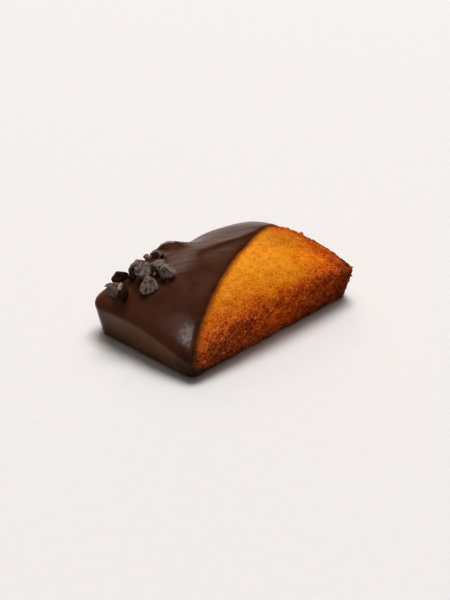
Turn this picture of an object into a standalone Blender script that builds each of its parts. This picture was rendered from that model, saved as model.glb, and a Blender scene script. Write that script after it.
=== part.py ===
"""An oblong almond cake with a strongly domed top, dipped at a slant in dark
chocolate so that one long half is coated, with cocoa nibs set in the coating.

Metres, +Z up. The origin is the middle of the underside, +X runs along the
cake's length and +Y across it, towards the coated side.
"""

from math import ceil, cos, exp, pi, radians, sin, sqrt, tan

import bmesh
import bpy
from mathutils import Matrix, Vector, noise
from mathutils.bvhtree import BVHTree

MM = 0.001

# The cake as baked: a tin with flared walls, and a dome above the rim.
LENGTH = 70.4 * MM
WIDTH = 44.2 * MM
RIM_HEIGHT = 11.3 * MM
RIM_DROP = 0.6
DOME_RISE = 10.2 * MM
DOME_FLATNESS_X = 3.7
DOME_FLATNESS_Y = 2.55
DOME_ROUNDNESS = 0.72
SHOULDER_SHARPNESS = 14
RIM_SOFT_IN = 0.4 * MM
RIM_SOFT_DOWN = 0.18 * MM
RIM_SOFT_REACH = 1.8 * MM
BASE_FILLET = 1.4 * MM

# How far the walls lean out, by the sign of X at the ends and Y at the sides.
END_FLARE = {-1: radians(9.5), 1: radians(1.5)}
SIDE_FLARE = {-1: radians(13.6), 1: radians(7.0)}

# Corner radii in plan, by the signs of X and Y.
CORNER_RADII = {
    (1, 1): 7.0 * MM,
    (-1, 1): 5.6 * MM,
    (-1, -1): 3.2 * MM,
    (1, -1): 4.2 * MM,
}

# Where the rim rises or falls: X, Y, reach along X, reach along Y, height.
RIM_SWELLS = (
    (-35.2, -22.1, 24.0, 15.0, -4.4),
    (-35.2, 22.1, 17.6, 17.6, -1.1),
    (35.2, 22.1, 16.0, 16.0, -2.2),
    (35.2, -22.1, 7.0, 6.5, -1.9),
    (8.6, -22.1, 22.0, 12.0, 1.5),
)

# Where the dome is lumpy: X, Y, reach along X, reach along Y, height.
DOME_SWELLS = (
    (-8.6, 16.2, 6.4, 6.4, 3.2),
    (0.5, 16.0, 5.0, 5.0, -1.2),
)
SWELL_EDGE_SHARPNESS = 10
UNEVENNESS = 0.22 * MM
UNEVENNESS_PERIOD = 9.0 * MM

# The dip: the coated side of a plane that stands nearly upright and crosses
# the cake at a slant, with the cake's core set back under the coating.
DIP_TURN = radians(20.8)
DIP_LEAN = radians(9.0)
DIP_SETBACK = 7.7 * MM
COAT_PROUD = 0.4 * MM
COAT_DEPTH = 0.7 * MM
CLEARANCE = 0.3 * MM
BLOCK_SIZE = 140.0 * MM

# Mesh density.
CORNER_STEPS = 6
SIDE_STEP = 4.6 * MM
FILLET_STEPS = 3
WALL_RINGS = (0.25, 0.5, 0.72, 0.86, 0.91, 0.955, 1.0)
DOME_RINGS = (0.99, 0.975, 0.955, 0.92, 0.87, 0.8, 0.7, 0.58, 0.44, 0.28, 0.12)

# Cocoa nibs: X, Y, length, width, height in millimetres; turn and pitch in
# degrees; how deep the top is hollowed; how much the far end is broadened.
NIBS = (
    (-24.4, 7.7, 5.7, 5.4, 4.8, -46, 0, 0.0, 0.0),
    (-21.5, 1.4, 4.8, 4.8, 4.2, -46, 8, 0.0, 0.0),
    (-27.5, 2.5, 5.4, 5.8, 3.0, -136, 12, 0.0, 0.5),
    (-31.3, 10.2, 6.2, 5.6, 4.8, -46, 0, 0.0, 0.0),
    (-27.3, 15.0, 4.6, 5.4, 3.8, -136, 35, 0.5, 0.0),
    (-23.3, 12.0, 5.8, 4.6, 4.4, -40, 0, 0.0, 0.0),
    (-20.9, 5.9, 4.2, 5.0, 4.4, -46, -8, 0.0, 0.0),
    (-15.1, 14.7, 3.4, 2.2, 1.6, -46, 0, 0.0, 0.0),
    (-15.6, 10.9, 2.2, 3.0, 2.2, -46, 0, 0.0, 0.0),
    (-15.9, 12.9, 2.4, 2.2, 1.5, -20, 0, 0.0, 0.0),
    (-15.6, 16.6, 1.8, 2.2, 1.7, -46, 0, 0.0, 0.0),
    (-29.3, 18.2, 3.8, 1.8, 1.1, -46, 14, 0.0, 0.0),
    (-25.9, 11.2, 2.0, 1.8, 1.6, -46, 0, 0.0, 0.0),
)
NIB_SUNK = 0.08
NIB_LUMPINESS = 0.16
NIB_LUMP_RATE = 1.3
NIB_HOLLOW_SHARPNESS = 3
NIB_VARIETY = Vector((3.7, 1.9, 5.3))
SMALLEST_LARGE_NIB = 4.0
NIB_DETAIL = 3
CHIP_DETAIL = 2

COLOURS = {
    "cake": ((0.60, 0.22, 0.03, 1.0), 0.8),
    "chocolate_coating": ((0.045, 0.018, 0.010, 1.0), 0.4),
}


def clear_objects():
    """Empties the scene of objects."""
    for old in list(bpy.data.objects):
        bpy.data.objects.remove(old, do_unlink=True)


def swell(x, y, bumps):
    """Summed height at (x, y) of the smooth bumps in a table."""
    total = 0.0
    for cx, cy, reach_x, reach_y, height in bumps:
        dx = (x / MM - cx) / reach_x
        dy = (y / MM - cy) / reach_y
        total += height * MM * exp(-dx * dx - dy * dy)
    return total


def rim_outline():
    """The rim in plan, anticlockwise: quarter arcs joined by straight sides.
    Each point comes with the unit vector that points away from the cake."""
    arcs = []
    for quarter, signs in enumerate(((1, 1), (-1, 1), (-1, -1), (1, -1))):
        radius = CORNER_RADII[signs]
        centre = Vector((signs[0] * (LENGTH / 2 - radius), signs[1] * (WIDTH / 2 - radius)))
        for step in range(CORNER_STEPS + 1):
            angle = (quarter + step / CORNER_STEPS) * pi / 2
            outward = Vector((cos(angle), sin(angle)))
            arcs.append((centre + outward * radius, outward))
    outline = []
    for (point, outward), (following, _) in zip(arcs, arcs[1:] + arcs[:1]):
        parts = max(1, ceil((following - point).length / SIDE_STEP))
        for part in range(parts):
            outline.append((point.lerp(following, part / parts), outward))
    return outline


def wobble(x, y, z):
    """Slight unevenness of the baked surface, as a distance along its normal."""
    return UNEVENNESS * noise.noise(Vector((x, y, z)) / UNEVENNESS_PERIOD)


def softening(distance):
    """How far a point at a distance from the rim is drawn inwards and down,
    which rounds the edge between the wall and the dome."""
    near = max(0.0, 1 - distance / RIM_SOFT_REACH) ** 2
    return RIM_SOFT_IN * near, RIM_SOFT_DOWN * near


def wall_ring(outline, grow, depth, heights):
    """A ring of the flared wall, depth below the rim, at the given heights."""
    ring = []
    for (point, outward), z in zip(outline, heights):
        end_flare = END_FLARE[-1 if point.x < 0 else 1]
        side_flare = SIDE_FLARE[-1 if point.y < 0 else 1]
        x = point.x * (1 - depth * tan(end_flare) / (LENGTH / 2))
        y = point.y * (1 - depth * tan(side_flare) / (WIDTH / 2))
        inwards, down = softening(depth)
        out = grow + wobble(x, y, z) - inwards
        ring.append(Vector((x + outward.x * out, y + outward.y * out, z - down)))
    return ring


def dome_height(x, y, share, rim):
    """Height of the top at (x, y), on the ring that is share of the rim's size."""
    round_x = max(0.0, 1 - abs(2 * x / LENGTH) ** DOME_FLATNESS_X)
    round_y = max(0.0, 1 - abs(2 * y / WIDTH) ** DOME_FLATNESS_Y)
    crown = DOME_RISE * (round_x * round_y) ** DOME_ROUNDNESS
    crown *= sqrt(1 - share**SHOULDER_SHARPNESS)
    lumps = swell(x, y, DOME_SWELLS) * (1 - share**SWELL_EDGE_SHARPNESS)
    return rim * share**2 + RIM_HEIGHT * (1 - share**2) + crown + lumps


def dome_ring(outline, grow, share, rim):
    """A ring of the top, at share of the rim's size."""
    ring = []
    for (point, outward), rim_z in zip(outline, rim):
        x, y = point * share
        z = dome_height(x, y, share, rim_z)
        inwards, down = softening((1 - share) * point.length)
        z += grow * (1 - RIM_DROP * share**2) + wobble(x, y, z) - down
        out = grow * share - inwards
        ring.append(Vector((x + outward.x * out, y + outward.y * out, z)))
    return ring


def body_rings(grow):
    """Rings of the whole cake, from the edge of its underside to its crown,
    with every surface moved out by grow but for an underside on the floor."""
    outline = rim_outline()
    rim = [RIM_HEIGHT + swell(point.x, point.y, RIM_SWELLS) for point, _ in outline]
    floor = max(0.0, -grow)
    rings = []
    for step in range(FILLET_STEPS + 1):
        angle = step / FILLET_STEPS * pi / 2
        height = floor + BASE_FILLET * (1 - cos(angle))
        inset = BASE_FILLET * (1 - sin(angle))
        rings.append(wall_ring(outline, grow - inset, RIM_HEIGHT, [height] * len(outline)))
    foot = floor + BASE_FILLET
    top_edge = [z + grow * (1 - RIM_DROP) for z in rim]
    for share in WALL_RINGS:
        heights = [foot + (z - foot) * share for z in top_edge]
        rings.append(wall_ring(outline, grow, RIM_HEIGHT * (1 - share), heights))
    for share in DOME_RINGS:
        rings.append(dome_ring(outline, grow, share, rim))
    return rings


def body_bmesh(grow):
    """The whole cake, grown or shrunk, as a closed mesh."""
    shell = bmesh.new()
    rings = body_rings(grow)
    rows = [[shell.verts.new(point) for point in ring] for ring in rings]
    base = shell.verts.new((0.0, 0.0, rings[0][0].z))
    crown_z = dome_height(0.0, 0.0, 0.0, RIM_HEIGHT)
    crown = shell.verts.new((0.0, 0.0, crown_z + grow + wobble(0.0, 0.0, crown_z)))
    count = len(rows[0])
    for i in range(count):
        j = (i + 1) % count
        shell.faces.new((base, rows[0][j], rows[0][i]))
        shell.faces.new((crown, rows[-1][i], rows[-1][j]))
        for low, high in zip(rows, rows[1:]):
            shell.faces.new((low[i], low[j], high[j], high[i]))
    shell.normal_update()
    return shell


def add_object(name, shape):
    """A new object that takes its mesh from a bmesh, shaded smooth."""
    mesh = bpy.data.meshes.new(name)
    shape.to_mesh(mesh)
    shape.free()
    mesh.shade_smooth()
    thing = bpy.data.objects.new(name, mesh)
    bpy.context.scene.collection.objects.link(thing)
    return thing


def as_cutter(thing):
    """Marks an object as one that only cuts others."""
    thing.hide_render = True
    thing.display_type = "WIRE"
    return thing


def dip_normal():
    """Unit vector from the bare side of the dip plane to the coated side."""
    return Vector((-sin(DIP_TURN) * cos(DIP_LEAN), cos(DIP_TURN) * cos(DIP_LEAN), -sin(DIP_LEAN)))


def dip_block(name, shift):
    """A block on the coated side of the dip plane, moved into it by shift."""
    normal = dip_normal()
    block = bmesh.new()
    bmesh.ops.create_cube(block, size=BLOCK_SIZE)
    turn = normal.to_track_quat("Z", "Y").to_matrix().to_4x4()
    middle = normal * (BLOCK_SIZE / 2 + shift - DIP_SETBACK)
    bmesh.ops.transform(block, matrix=Matrix.Translation(middle) @ turn, verts=block.verts)
    return as_cutter(add_object(name, block))


def boolean(thing, operation, other):
    """Adds a Boolean modifier with another object, or with a collection."""
    modifier = thing.modifiers.new(operation.title(), "BOOLEAN")
    modifier.operation = operation
    modifier.solver = "EXACT"
    if isinstance(other, bpy.types.Collection):
        modifier.operand_type = "COLLECTION"
        modifier.collection = other
    else:
        modifier.object = other


def apply_modifiers(thing):
    """Swaps an object's mesh for the one that its modifiers make."""
    graph = bpy.context.evaluated_depsgraph_get()
    result = bpy.data.meshes.new_from_object(thing.evaluated_get(graph))
    thing.modifiers.clear()
    thing.data = result


def nib_bmesh(length, width, height, hollow, broaden, seed):
    """A lumpy cocoa nib about the origin, its long side along X."""
    nib = bmesh.new()
    detail = NIB_DETAIL if length >= SMALLEST_LARGE_NIB else CHIP_DETAIL
    bmesh.ops.create_icosphere(nib, subdivisions=detail, radius=1.0)
    shift = NIB_VARIETY * seed
    for vert in nib.verts:
        way = vert.co.normalized()
        lump = 1 + NIB_LUMPINESS * noise.noise(way * NIB_LUMP_RATE + shift)
        lump -= hollow * max(0.0, way.z) ** NIB_HOLLOW_SHARPNESS
        vert.co.x = way.x * lump * length * MM / 2
        vert.co.y = way.y * lump * width * MM / 2 * (1 + broaden * way.x)
        vert.co.z = way.z * lump * height * MM / 2
    return nib


def add_nibs(surface):
    """Cocoa nibs resting slightly sunk in a surface, in a collection."""
    nibs = bpy.data.collections.new("nibs")
    bpy.context.scene.collection.children.link(nibs)
    up = Vector((0.0, 0.0, 1.0))
    for seed, (x, y, length, width, height, turn, pitch, hollow, broaden) in enumerate(NIBS):
        above = Vector((x * MM, y * MM, LENGTH))
        spot, normal, _, _ = surface.ray_cast(above, -up)
        nib = add_object("nib", nib_bmesh(length, width, height, hollow, broaden, seed))
        lift = Matrix.Translation(spot + normal * height * MM * (0.5 - NIB_SUNK))
        lean = up.rotation_difference(normal).to_matrix().to_4x4()
        spin = Matrix.Rotation(radians(turn), 4, "Z") @ Matrix.Rotation(radians(pitch), 4, "Y")
        nib.data.transform(lift @ lean @ spin)
        bpy.context.scene.collection.objects.unlink(nib)
        nibs.objects.link(nib)
    return nibs


def paint(thing):
    """Gives an object the plain material that belongs to its name."""
    colour, roughness = COLOURS[thing.name]
    material = bpy.data.materials.new(thing.name)
    material.use_nodes = True
    shader = material.node_tree.nodes["Principled BSDF"]
    shader.inputs["Base Color"].default_value = colour
    shader.inputs["Roughness"].default_value = roughness
    shader.inputs["Metallic"].default_value = 0.0
    thing.data.materials.clear()
    thing.data.materials.append(material)


def remove_with_mesh(things):
    """Removes objects and their meshes."""
    for thing in list(things):
        mesh = thing.data
        bpy.data.objects.remove(thing, do_unlink=True)
        bpy.data.meshes.remove(mesh)


def make_cake():
    """The cake: full size where it is bare, set back where it is coated."""
    core = as_cutter(add_object("core", body_bmesh(-COAT_DEPTH - CLEARANCE)))
    room = dip_block("coat_room", 0.0)
    boolean(room, "DIFFERENCE", core)
    apply_modifiers(room)
    cake = add_object("cake", body_bmesh(0.0))
    boolean(cake, "DIFFERENCE", room)
    apply_modifiers(cake)
    paint(cake)
    remove_with_mesh((core, room))


def make_coating():
    """The chocolate: a dipped shell, open at the dip plane, with its nibs."""
    outside = body_bmesh(COAT_PROUD)
    surface = BVHTree.FromBMesh(outside)
    coating = add_object("chocolate_coating", outside)
    side = dip_block("coated_side", CLEARANCE)
    inside = as_cutter(add_object("inside", body_bmesh(-COAT_DEPTH)))
    nibs = add_nibs(surface)
    boolean(coating, "INTERSECT", side)
    boolean(coating, "UNION", nibs)
    boolean(coating, "DIFFERENCE", inside)
    apply_modifiers(coating)
    paint(coating)
    remove_with_mesh((side, inside, *nibs.objects))
    bpy.data.collections.remove(nibs)


clear_objects()
make_cake()
make_coating()
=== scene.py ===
# %% [markdown]
# # A financier dipped in dark chocolate
#
# A financier is a small oblong almond cake with a browned rim and a domed golden top. One long
# half of this one was dipped at a slant in dark chocolate, and cocoa nibs were dropped on it
# before it set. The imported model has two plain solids, the cake and its coating. This lesson
# dresses them: sponge with a real crumb, a satin coat with a soft edge, and nibs.

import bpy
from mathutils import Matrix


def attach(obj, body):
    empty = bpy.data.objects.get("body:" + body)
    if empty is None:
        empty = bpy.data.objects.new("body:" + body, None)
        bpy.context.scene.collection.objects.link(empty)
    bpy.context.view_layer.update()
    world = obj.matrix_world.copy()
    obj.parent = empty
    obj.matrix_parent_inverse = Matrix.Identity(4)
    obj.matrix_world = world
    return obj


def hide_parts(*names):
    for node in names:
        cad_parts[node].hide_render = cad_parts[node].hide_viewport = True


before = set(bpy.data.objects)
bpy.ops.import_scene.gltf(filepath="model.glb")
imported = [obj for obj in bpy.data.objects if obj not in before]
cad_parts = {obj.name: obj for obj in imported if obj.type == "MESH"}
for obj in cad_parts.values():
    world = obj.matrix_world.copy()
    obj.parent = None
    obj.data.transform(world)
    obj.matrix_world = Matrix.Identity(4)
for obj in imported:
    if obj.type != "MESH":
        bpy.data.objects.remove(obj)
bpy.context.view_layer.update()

# %% Tools
from math import cos, exp, pi, radians, sin, sqrt, tan

import bmesh
import bpy
import numpy as np
from mathutils import Matrix, Vector, noise
from mathutils.bvhtree import BVHTree

MM = 0.001

# %% [markdown]
# ## The camera
#
# The photograph looks down on the near corner from about thirty degrees, from far off through a
# long lens. A camera on a sphere round the cake that looks just above its middle gives the same
# view, so three numbers place it.

# %% Camera
VIEW_AZIMUTH = radians(-46.06)
VIEW_ELEVATION = radians(30.11)
VIEW_DISTANCE = 539.4 * MM
LENS_MM = 108.0
AIM = Vector((0.0, 0.0, 4.7 * MM))


def from_here(azimuth, elevation, distance):
    """A point seen from the origin at an azimuth, an elevation and a distance."""
    level = distance * cos(elevation)
    return Vector((level * sin(azimuth), -level * cos(azimuth), distance * sin(elevation)))


def add_object(name, data):
    """A new object in the scene, at the origin."""
    made = bpy.data.objects.new(name, data)
    bpy.context.scene.collection.objects.link(made)
    return made


camera = add_object("camera", bpy.data.cameras.new("camera"))
camera.data.lens = LENS_MM
camera.data.clip_start = 10 * MM
camera.location = from_here(VIEW_AZIMUTH, VIEW_ELEVATION, VIEW_DISTANCE)
camera.rotation_euler = (AIM - camera.location).to_track_quat("-Z", "Y").to_euler()
bpy.context.scene.camera = camera
print("camera at", tuple(round(value, 3) for value in camera.location))

# %% [markdown]
# ## Arithmetic on sockets
#
# A material is a sum of many small sums, and hard to read when written node by node. So one small
# class wraps a socket and lets Python's own operators add the Math nodes. It serves Geometry
# Nodes too, because both kinds of tree use the same Math node.


# %% A socket that can be reckoned with
def operator(operation):
    """A method that puts a Math node between a wire and another number or wire."""
    return lambda self, other: self.math(operation, other)


class Wire:
    """One output socket of a node tree. Arithmetic on it adds the nodes that work it out."""

    def __init__(self, tree, socket):
        self.tree = tree
        self.socket = socket

    def node(self, kind, inputs=None, settings=None, output=0):
        """Adds any node, with values or wires for its sockets, and its settings."""
        made = self.tree.nodes.new(kind)
        for name, value in (settings or {}).items():
            setattr(made, name, value)
        for name, value in (inputs or {}).items():
            if isinstance(value, Wire):
                self.tree.links.new(value.socket, made.inputs[name])
            else:
                made.inputs[name].default_value = value
        return Wire(self.tree, made.outputs[output])

    def math(self, operation, *others):
        """A Math node on this wire and up to two more numbers or wires."""
        values = dict(enumerate((self, *others)))
        return self.node("ShaderNodeMath", values, {"operation": operation})

    __add__ = __radd__ = operator("ADD")
    __mul__ = __rmul__ = operator("MULTIPLY")
    __sub__ = operator("SUBTRACT")
    __truediv__ = operator("DIVIDE")
    __pow__ = operator("POWER")

    def __rsub__(self, other):
        return self * -1.0 + other

    def __rtruediv__(self, other):
        return self**-1.0 * other

    def clamp(self):
        """This number kept between 0 and 1."""
        return self.node("ShaderNodeClamp", {"Value": self})

    def step(self, low, high):
        """0 below low, 1 above high, and a smooth rise between them."""
        settings = {"interpolation_type": "SMOOTHSTEP"}
        values = {"Value": self, "From Min": low, "From Max": high}
        return self.node("ShaderNodeMapRange", values, settings)

    def blend(self, first, second):
        """One colour where this wire is 0, and another where it is 1."""
        return self.node("ShaderNodeMix", {0: self, 6: first, 7: second}, {"data_type": "RGBA"}, 2)

    def ramp(self, stops):
        """The colour that a table of (number, colour) stops gives for this wire."""
        top = stops[-1][0]
        looked_up = self.node("ShaderNodeValToRGB", {"Fac": self / top})
        elements = looked_up.socket.node.color_ramp.elements
        while len(elements) < len(stops):
            elements.new(1.0)
        for element, (number, colour) in zip(elements, stops):
            element.position = number / top
            element.color = colour
        return looked_up

    def vector(self, operation, other, output=0):
        """A Vector Math node on this vector and another."""
        settings = {"operation": operation}
        return self.node("ShaderNodeVectorMath", {0: self, 1: other}, settings, output)

    def scaled(self, factor):
        """This vector times a number."""
        settings = {"operation": "SCALE"}
        return self.node("ShaderNodeVectorMath", {0: self, "Scale": factor}, settings)

    def turned(self, angle):
        """This vector turned about the upright axis."""
        settings = {"rotation_type": "Z_AXIS"}
        return self.node("ShaderNodeVectorRotate", {"Vector": self, "Angle": angle}, settings)

    def away_from(self, point, shares=(1.0, 1.0, 1.0)):
        """How far this place is from a point, with its parts multiplied by shares."""
        offset = self.vector("SUBTRACT", point).vector("MULTIPLY", shares)
        return offset.vector("DISTANCE", (0.0, 0.0, 0.0), "Value")

    def grain(self, size, detail=2.0, roughness=0.5):
        """Cloudy noise from 0 to 1 at this place, its lumps about one size apart."""
        values = {"Vector": self, "Scale": 1 / size, "Detail": detail, "Roughness": roughness}
        return self.node("ShaderNodeTexNoise", values)

    def cells(self, size):
        """Distance to the nearest of many scattered points, one size apart."""
        return self.node("ShaderNodeTexVoronoi", {"Vector": self, "Scale": 1 / size})


print("wire class ready")

# %% [markdown]
# ## The form of the cake
#
# The solids were made from rings, up the flared wall and then inwards over the dome. The same
# rule is written out here, with the solid's own sizes, because a rule can be sampled as finely as
# a crumb needs.

# %% Sizes of the cake
LENGTH = 70.4 * MM
WIDTH = 44.2 * MM
RIM_HEIGHT = 11.3 * MM
RIM_DROP = 0.6
DOME_RISE = 10.2 * MM
DOME_FLATNESS_X = 3.7
DOME_FLATNESS_Y = 2.55
DOME_ROUNDNESS = 0.72
SHOULDER_SHARPNESS = 14
RIM_SOFT_IN = 0.4 * MM
RIM_SOFT_DOWN = 0.18 * MM
RIM_SOFT_REACH = 1.8 * MM
ROUND_CORNER = ((-34.0, -21.0, 8.0, 8.0, 2.0),)
BASE_FILLET = 1.4 * MM
# The flare of the left end and the near side, then of the right end and the far side.
FLARES = np.array(((tan(radians(9.5)), tan(radians(13.6))), (tan(radians(1.5)), tan(radians(7.0)))))
CORNER_RADII = {(1, 1): 7.0 * MM, (-1, 1): 5.6 * MM, (-1, -1): 3.2 * MM, (1, -1): 4.2 * MM}
RIM_SWELLS = (
    (-35.2, -22.1, 24.0, 15.0, -4.4),
    (-35.2, 22.1, 17.6, 17.6, -1.1),
    (35.2, 22.1, 16.0, 16.0, -2.2),
    (35.2, -22.1, 7.0, 6.5, -1.9),
    (8.6, -22.1, 22.0, 12.0, 1.5),
)
DOME_SWELLS = (
    (-8.6, 16.2, 6.4, 6.4, 3.2),
    (0.5, 16.0, 5.0, 5.0, -1.2),
)
SWELL_EDGE_SHARPNESS = 10
UNEVENNESS = 0.22 * MM
UNEVENNESS_PERIOD = 9.0 * MM

# %% Sizes of the dip
DIP_TURN = radians(20.8)
DIP_LEAN = radians(9.0)
DIP_SETBACK = 7.7 * MM
COAT_PROUD = 0.4 * MM
COAT_DEPTH = 0.7 * MM
CORE_DEPTH = 1.0 * MM
DIP_NORMAL = np.array(
    (-sin(DIP_TURN) * cos(DIP_LEAN), cos(DIP_TURN) * cos(DIP_LEAN), -sin(DIP_LEAN))
)


def past_plane(points):
    """How far points lie beyond the plane to which the cake was dipped."""
    return points @ DIP_NORMAL + DIP_SETBACK


# %% Smooth unevenness, and smooth steps
def noise_at(points, period, seed=0.0):
    """Smooth noise, from about -1 to 1, at each of many points."""
    shift = Vector((seed, seed, seed))
    return np.array([noise.noise(Vector(point) / period + shift) for point in points])


def smooth_step(values, low, high):
    """0 below low, 1 above high, and a smooth rise between them."""
    share = np.clip((values - low) / (high - low), 0.0, 1.0)
    return share * share * (3 - 2 * share)


def swell(x, y, bumps):
    """Summed height at many places of the smooth bumps in a table of millimetres."""
    total = np.zeros_like(x)
    for centre_x, centre_y, reach_x, reach_y, height in bumps:
        along = (x / MM - centre_x) / reach_x
        across = (y / MM - centre_y) / reach_y
        total += height * MM * np.exp(-along**2 - across**2)
    return total


# %% [markdown]
# ### Rings of points
#
# Points are set round the rim as far apart as each piece wants: close together where it shows,
# and far apart where another piece covers it. Towards the crown a ring shrinks, so every second
# point is dropped each time it has halved, and the faces stay about square.

# %% Round the rim
WALK_STEP = 0.05 * MM
ARC_SAMPLES = 40
HALVINGS = 8


def rim_walk(line, covered, bare):
    """Points once round the rim, and the unit vectors that point outwards from it.

    They are covered apart beyond a line past the dip plane, and bare apart before it."""
    points = []
    outwards = []
    for quarter, signs in enumerate(CORNER_RADII):
        angles = (quarter + np.linspace(0.0, 1.0, ARC_SAMPLES)) * pi / 2
        outward = np.column_stack((np.cos(angles), np.sin(angles)))
        radius = CORNER_RADII[signs]
        centre = np.array(signs) * (LENGTH / 2 - radius, WIDTH / 2 - radius)
        points.append(centre + radius * outward)
        outwards.append(outward)
    points = np.vstack((*points, points[0][:1]))
    outwards = np.vstack((*outwards, outwards[0][:1]))
    lengths = np.append(0.0, np.cumsum(np.linalg.norm(np.diff(points, axis=0), axis=1)))

    def at(where, table):
        return np.column_stack([np.interp(where, lengths, column) for column in table.T])

    marks = np.arange(0.0, lengths[-1], WALK_STEP)
    level = np.column_stack((at(marks, points), np.full_like(marks, RIM_HEIGHT)))
    spacing = np.where(past_plane(level) > line, covered, bare)
    travelled = np.append(0.0, np.cumsum(WALK_STEP / spacing))
    count = HALVINGS * round(travelled[-1] / HALVINGS)
    even = travelled[-1] * np.arange(count) / count
    where = np.interp(even, travelled, np.append(marks, lengths[-1]))
    return at(where, points), at(where, outwards)


# %% One ring of the wall, one ring of the dome
def softening(distance, rim):
    """How far points at a distance from the rim are drawn inwards and down."""
    extra = swell(*rim.T, ROUND_CORNER) / MM
    near = np.clip(1 - distance / (RIM_SOFT_REACH * (1 + extra)), 0.0, 1.0) ** 2
    return RIM_SOFT_IN * (1 + extra) * near, RIM_SOFT_DOWN * (1 + 2 * extra) * near


def wobble(x, y, z):
    """The baked surface's slight unevenness, as a distance along its normal."""
    return UNEVENNESS * noise_at(np.column_stack((x, y, z)), UNEVENNESS_PERIOD)


def wall_ring(rim, outwards, grow, depth, z):
    """A ring of the flared wall, at a depth below the rim."""
    lean_x, lean_y = np.where(rim < 0, *FLARES).T
    x = rim[:, 0] * (1 - depth * lean_x / (LENGTH / 2))
    y = rim[:, 1] * (1 - depth * lean_y / (WIDTH / 2))
    inwards, down = softening(depth, rim)
    out = grow + wobble(x, y, z) - inwards
    return np.column_stack((x + outwards[:, 0] * out, y + outwards[:, 1] * out, z - down))


def dome_height(x, y, share, rim_z):
    """Height of the top, on the ring that is share of the rim's size."""
    round_x = np.clip(1 - np.abs(2 * x / LENGTH) ** DOME_FLATNESS_X, 0.0, 1.0)
    round_y = np.clip(1 - np.abs(2 * y / WIDTH) ** DOME_FLATNESS_Y, 0.0, 1.0)
    crown = DOME_RISE * (round_x * round_y) ** DOME_ROUNDNESS * sqrt(1 - share**SHOULDER_SHARPNESS)
    lumps = swell(x, y, DOME_SWELLS) * (1 - share**SWELL_EDGE_SHARPNESS)
    return rim_z * share**2 + RIM_HEIGHT * (1 - share**2) + crown + lumps


def dome_ring(rim, outwards, grow, share, rim_z):
    """A ring of the top, at share of the rim's size."""
    x, y = (rim * share).T
    z = dome_height(x, y, share, rim_z)
    inwards, down = softening((1 - share) * np.linalg.norm(rim, axis=1), rim)
    out = grow * share - inwards
    up = grow * (1 - RIM_DROP * share**2) + wobble(x, y, z) - down
    return np.column_stack((x + outwards[:, 0] * out, y + outwards[:, 1] * out, z + up))


# %% All the rings
BASE_SHARES = (0.06, 0.13, 0.2, 0.26, 0.34, 0.43, 0.52, 0.62, 0.72, 0.82, 0.91)
FILLET_STEPS = 6


def kept(ring, share):
    """A ring's points, with every second one dropped each time the ring has halved."""
    return ring[:: 1 if share > 0.5 else 2 if share > 0.25 else 4 if share > 0.125 else 8]


def cake_rings(walk, grow, wall_shares, dome_shares):
    """Rings from the middle of the underside to the crown, every surface moved out by grow.

    Each point has a fourth number: how far inwards from the rim it lies, below 0 on the wall."""
    rim, outwards = walk
    rim_z = RIM_HEIGHT + swell(*rim.T, RIM_SWELLS)
    base = max(0.0, -grow)
    top_edge = rim_z + grow * (1 - RIM_DROP)
    ones = np.ones(len(rim))
    foot = base + BASE_FILLET
    edge = wall_ring(rim, outwards, grow - BASE_FILLET, RIM_HEIGHT, base * ones)
    rings = [np.array(((0.0, 0.0, base, -RIM_HEIGHT),))]
    for share in BASE_SHARES:
        ring = np.column_stack((edge * (share, share, 1.0), -RIM_HEIGHT * ones))
        rings.append(kept(ring, share))
    for step in range(FILLET_STEPS + 1):
        angle = step / FILLET_STEPS * pi / 2
        height = base + BASE_FILLET * (1 - cos(angle))
        inset = BASE_FILLET * (1 - sin(angle))
        ring = wall_ring(rim, outwards, grow - inset, RIM_HEIGHT, height * ones)
        rings.append(np.column_stack((ring, (height - RIM_HEIGHT) * ones)))
    for share in wall_shares:
        heights = foot + (top_edge - foot) * share
        ring = wall_ring(rim, outwards, grow, RIM_HEIGHT * (1 - share), heights)
        rings.append(np.column_stack((ring, heights - top_edge)))
    for share in dome_shares:
        ring = dome_ring(rim, outwards, grow, share, rim_z)
        inside = (1 - share) * (rim * outwards).sum(axis=1)
        rings.append(kept(np.column_stack((ring, inside)), share))
    crown = dome_height(np.zeros(1), np.zeros(1), 0.0, RIM_HEIGHT)[0]
    crown += grow + wobble(np.zeros(1), np.zeros(1), np.full(1, crown))[0]
    rings.append(np.array(((0.0, 0.0, crown, WIDTH / 2),)))
    return rings


# %% Faces between rings
def faces_between(low, high):
    """Faces that join two rings of point numbers, of which one may have half as many points."""
    if len(low) < len(high):
        return [face[::-1] for face in faces_between(high, low)]
    faces = []
    for i in range(len(high)):
        here, there = high[i], high[(i + 1) % len(high)]
        if len(low) == len(high):
            faces.append((low[i], low[(i + 1) % len(low)], there, here))
        else:
            first, middle, last = (low[(2 * i + k) % len(low)] for k in range(3))
            faces += [(first, middle, here), (middle, there, here), (middle, last, there)]
    return faces


def ring_faces(rings):
    """All the faces of a closed form made of rings, the first and last of one point."""
    starts = np.append(0, np.cumsum([len(ring) for ring in rings]))
    numbers = [range(start, end) for start, end in zip(starts, starts[1:])]
    first, last = numbers[1], numbers[-2]
    faces = [(0, first[(i + 1) % len(first)], first[i]) for i in range(len(first))]
    for low, high in zip(numbers[1:-2], numbers[2:-1]):
        faces += faces_between(low, high)
    faces += [(starts[-2], last[i], last[(i + 1) % len(last)]) for i in range(len(last))]
    return faces


def add_mesh(name, points, faces, numbers=None):
    """A smooth mesh object at the origin, with named numbers stored on its points."""
    mesh = bpy.data.meshes.new(name)
    faces = [[int(number) for number in face] for face in faces]
    mesh.from_pydata([tuple(point) for point in points], [], faces)
    for label, values in (numbers or {}).items():
        attribute = mesh.attributes.new(label, "FLOAT", "POINT")
        attribute.data.foreach_set("value", np.asarray(values, np.float32))
    mesh.shade_smooth()
    return add_object(name, mesh)


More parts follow.
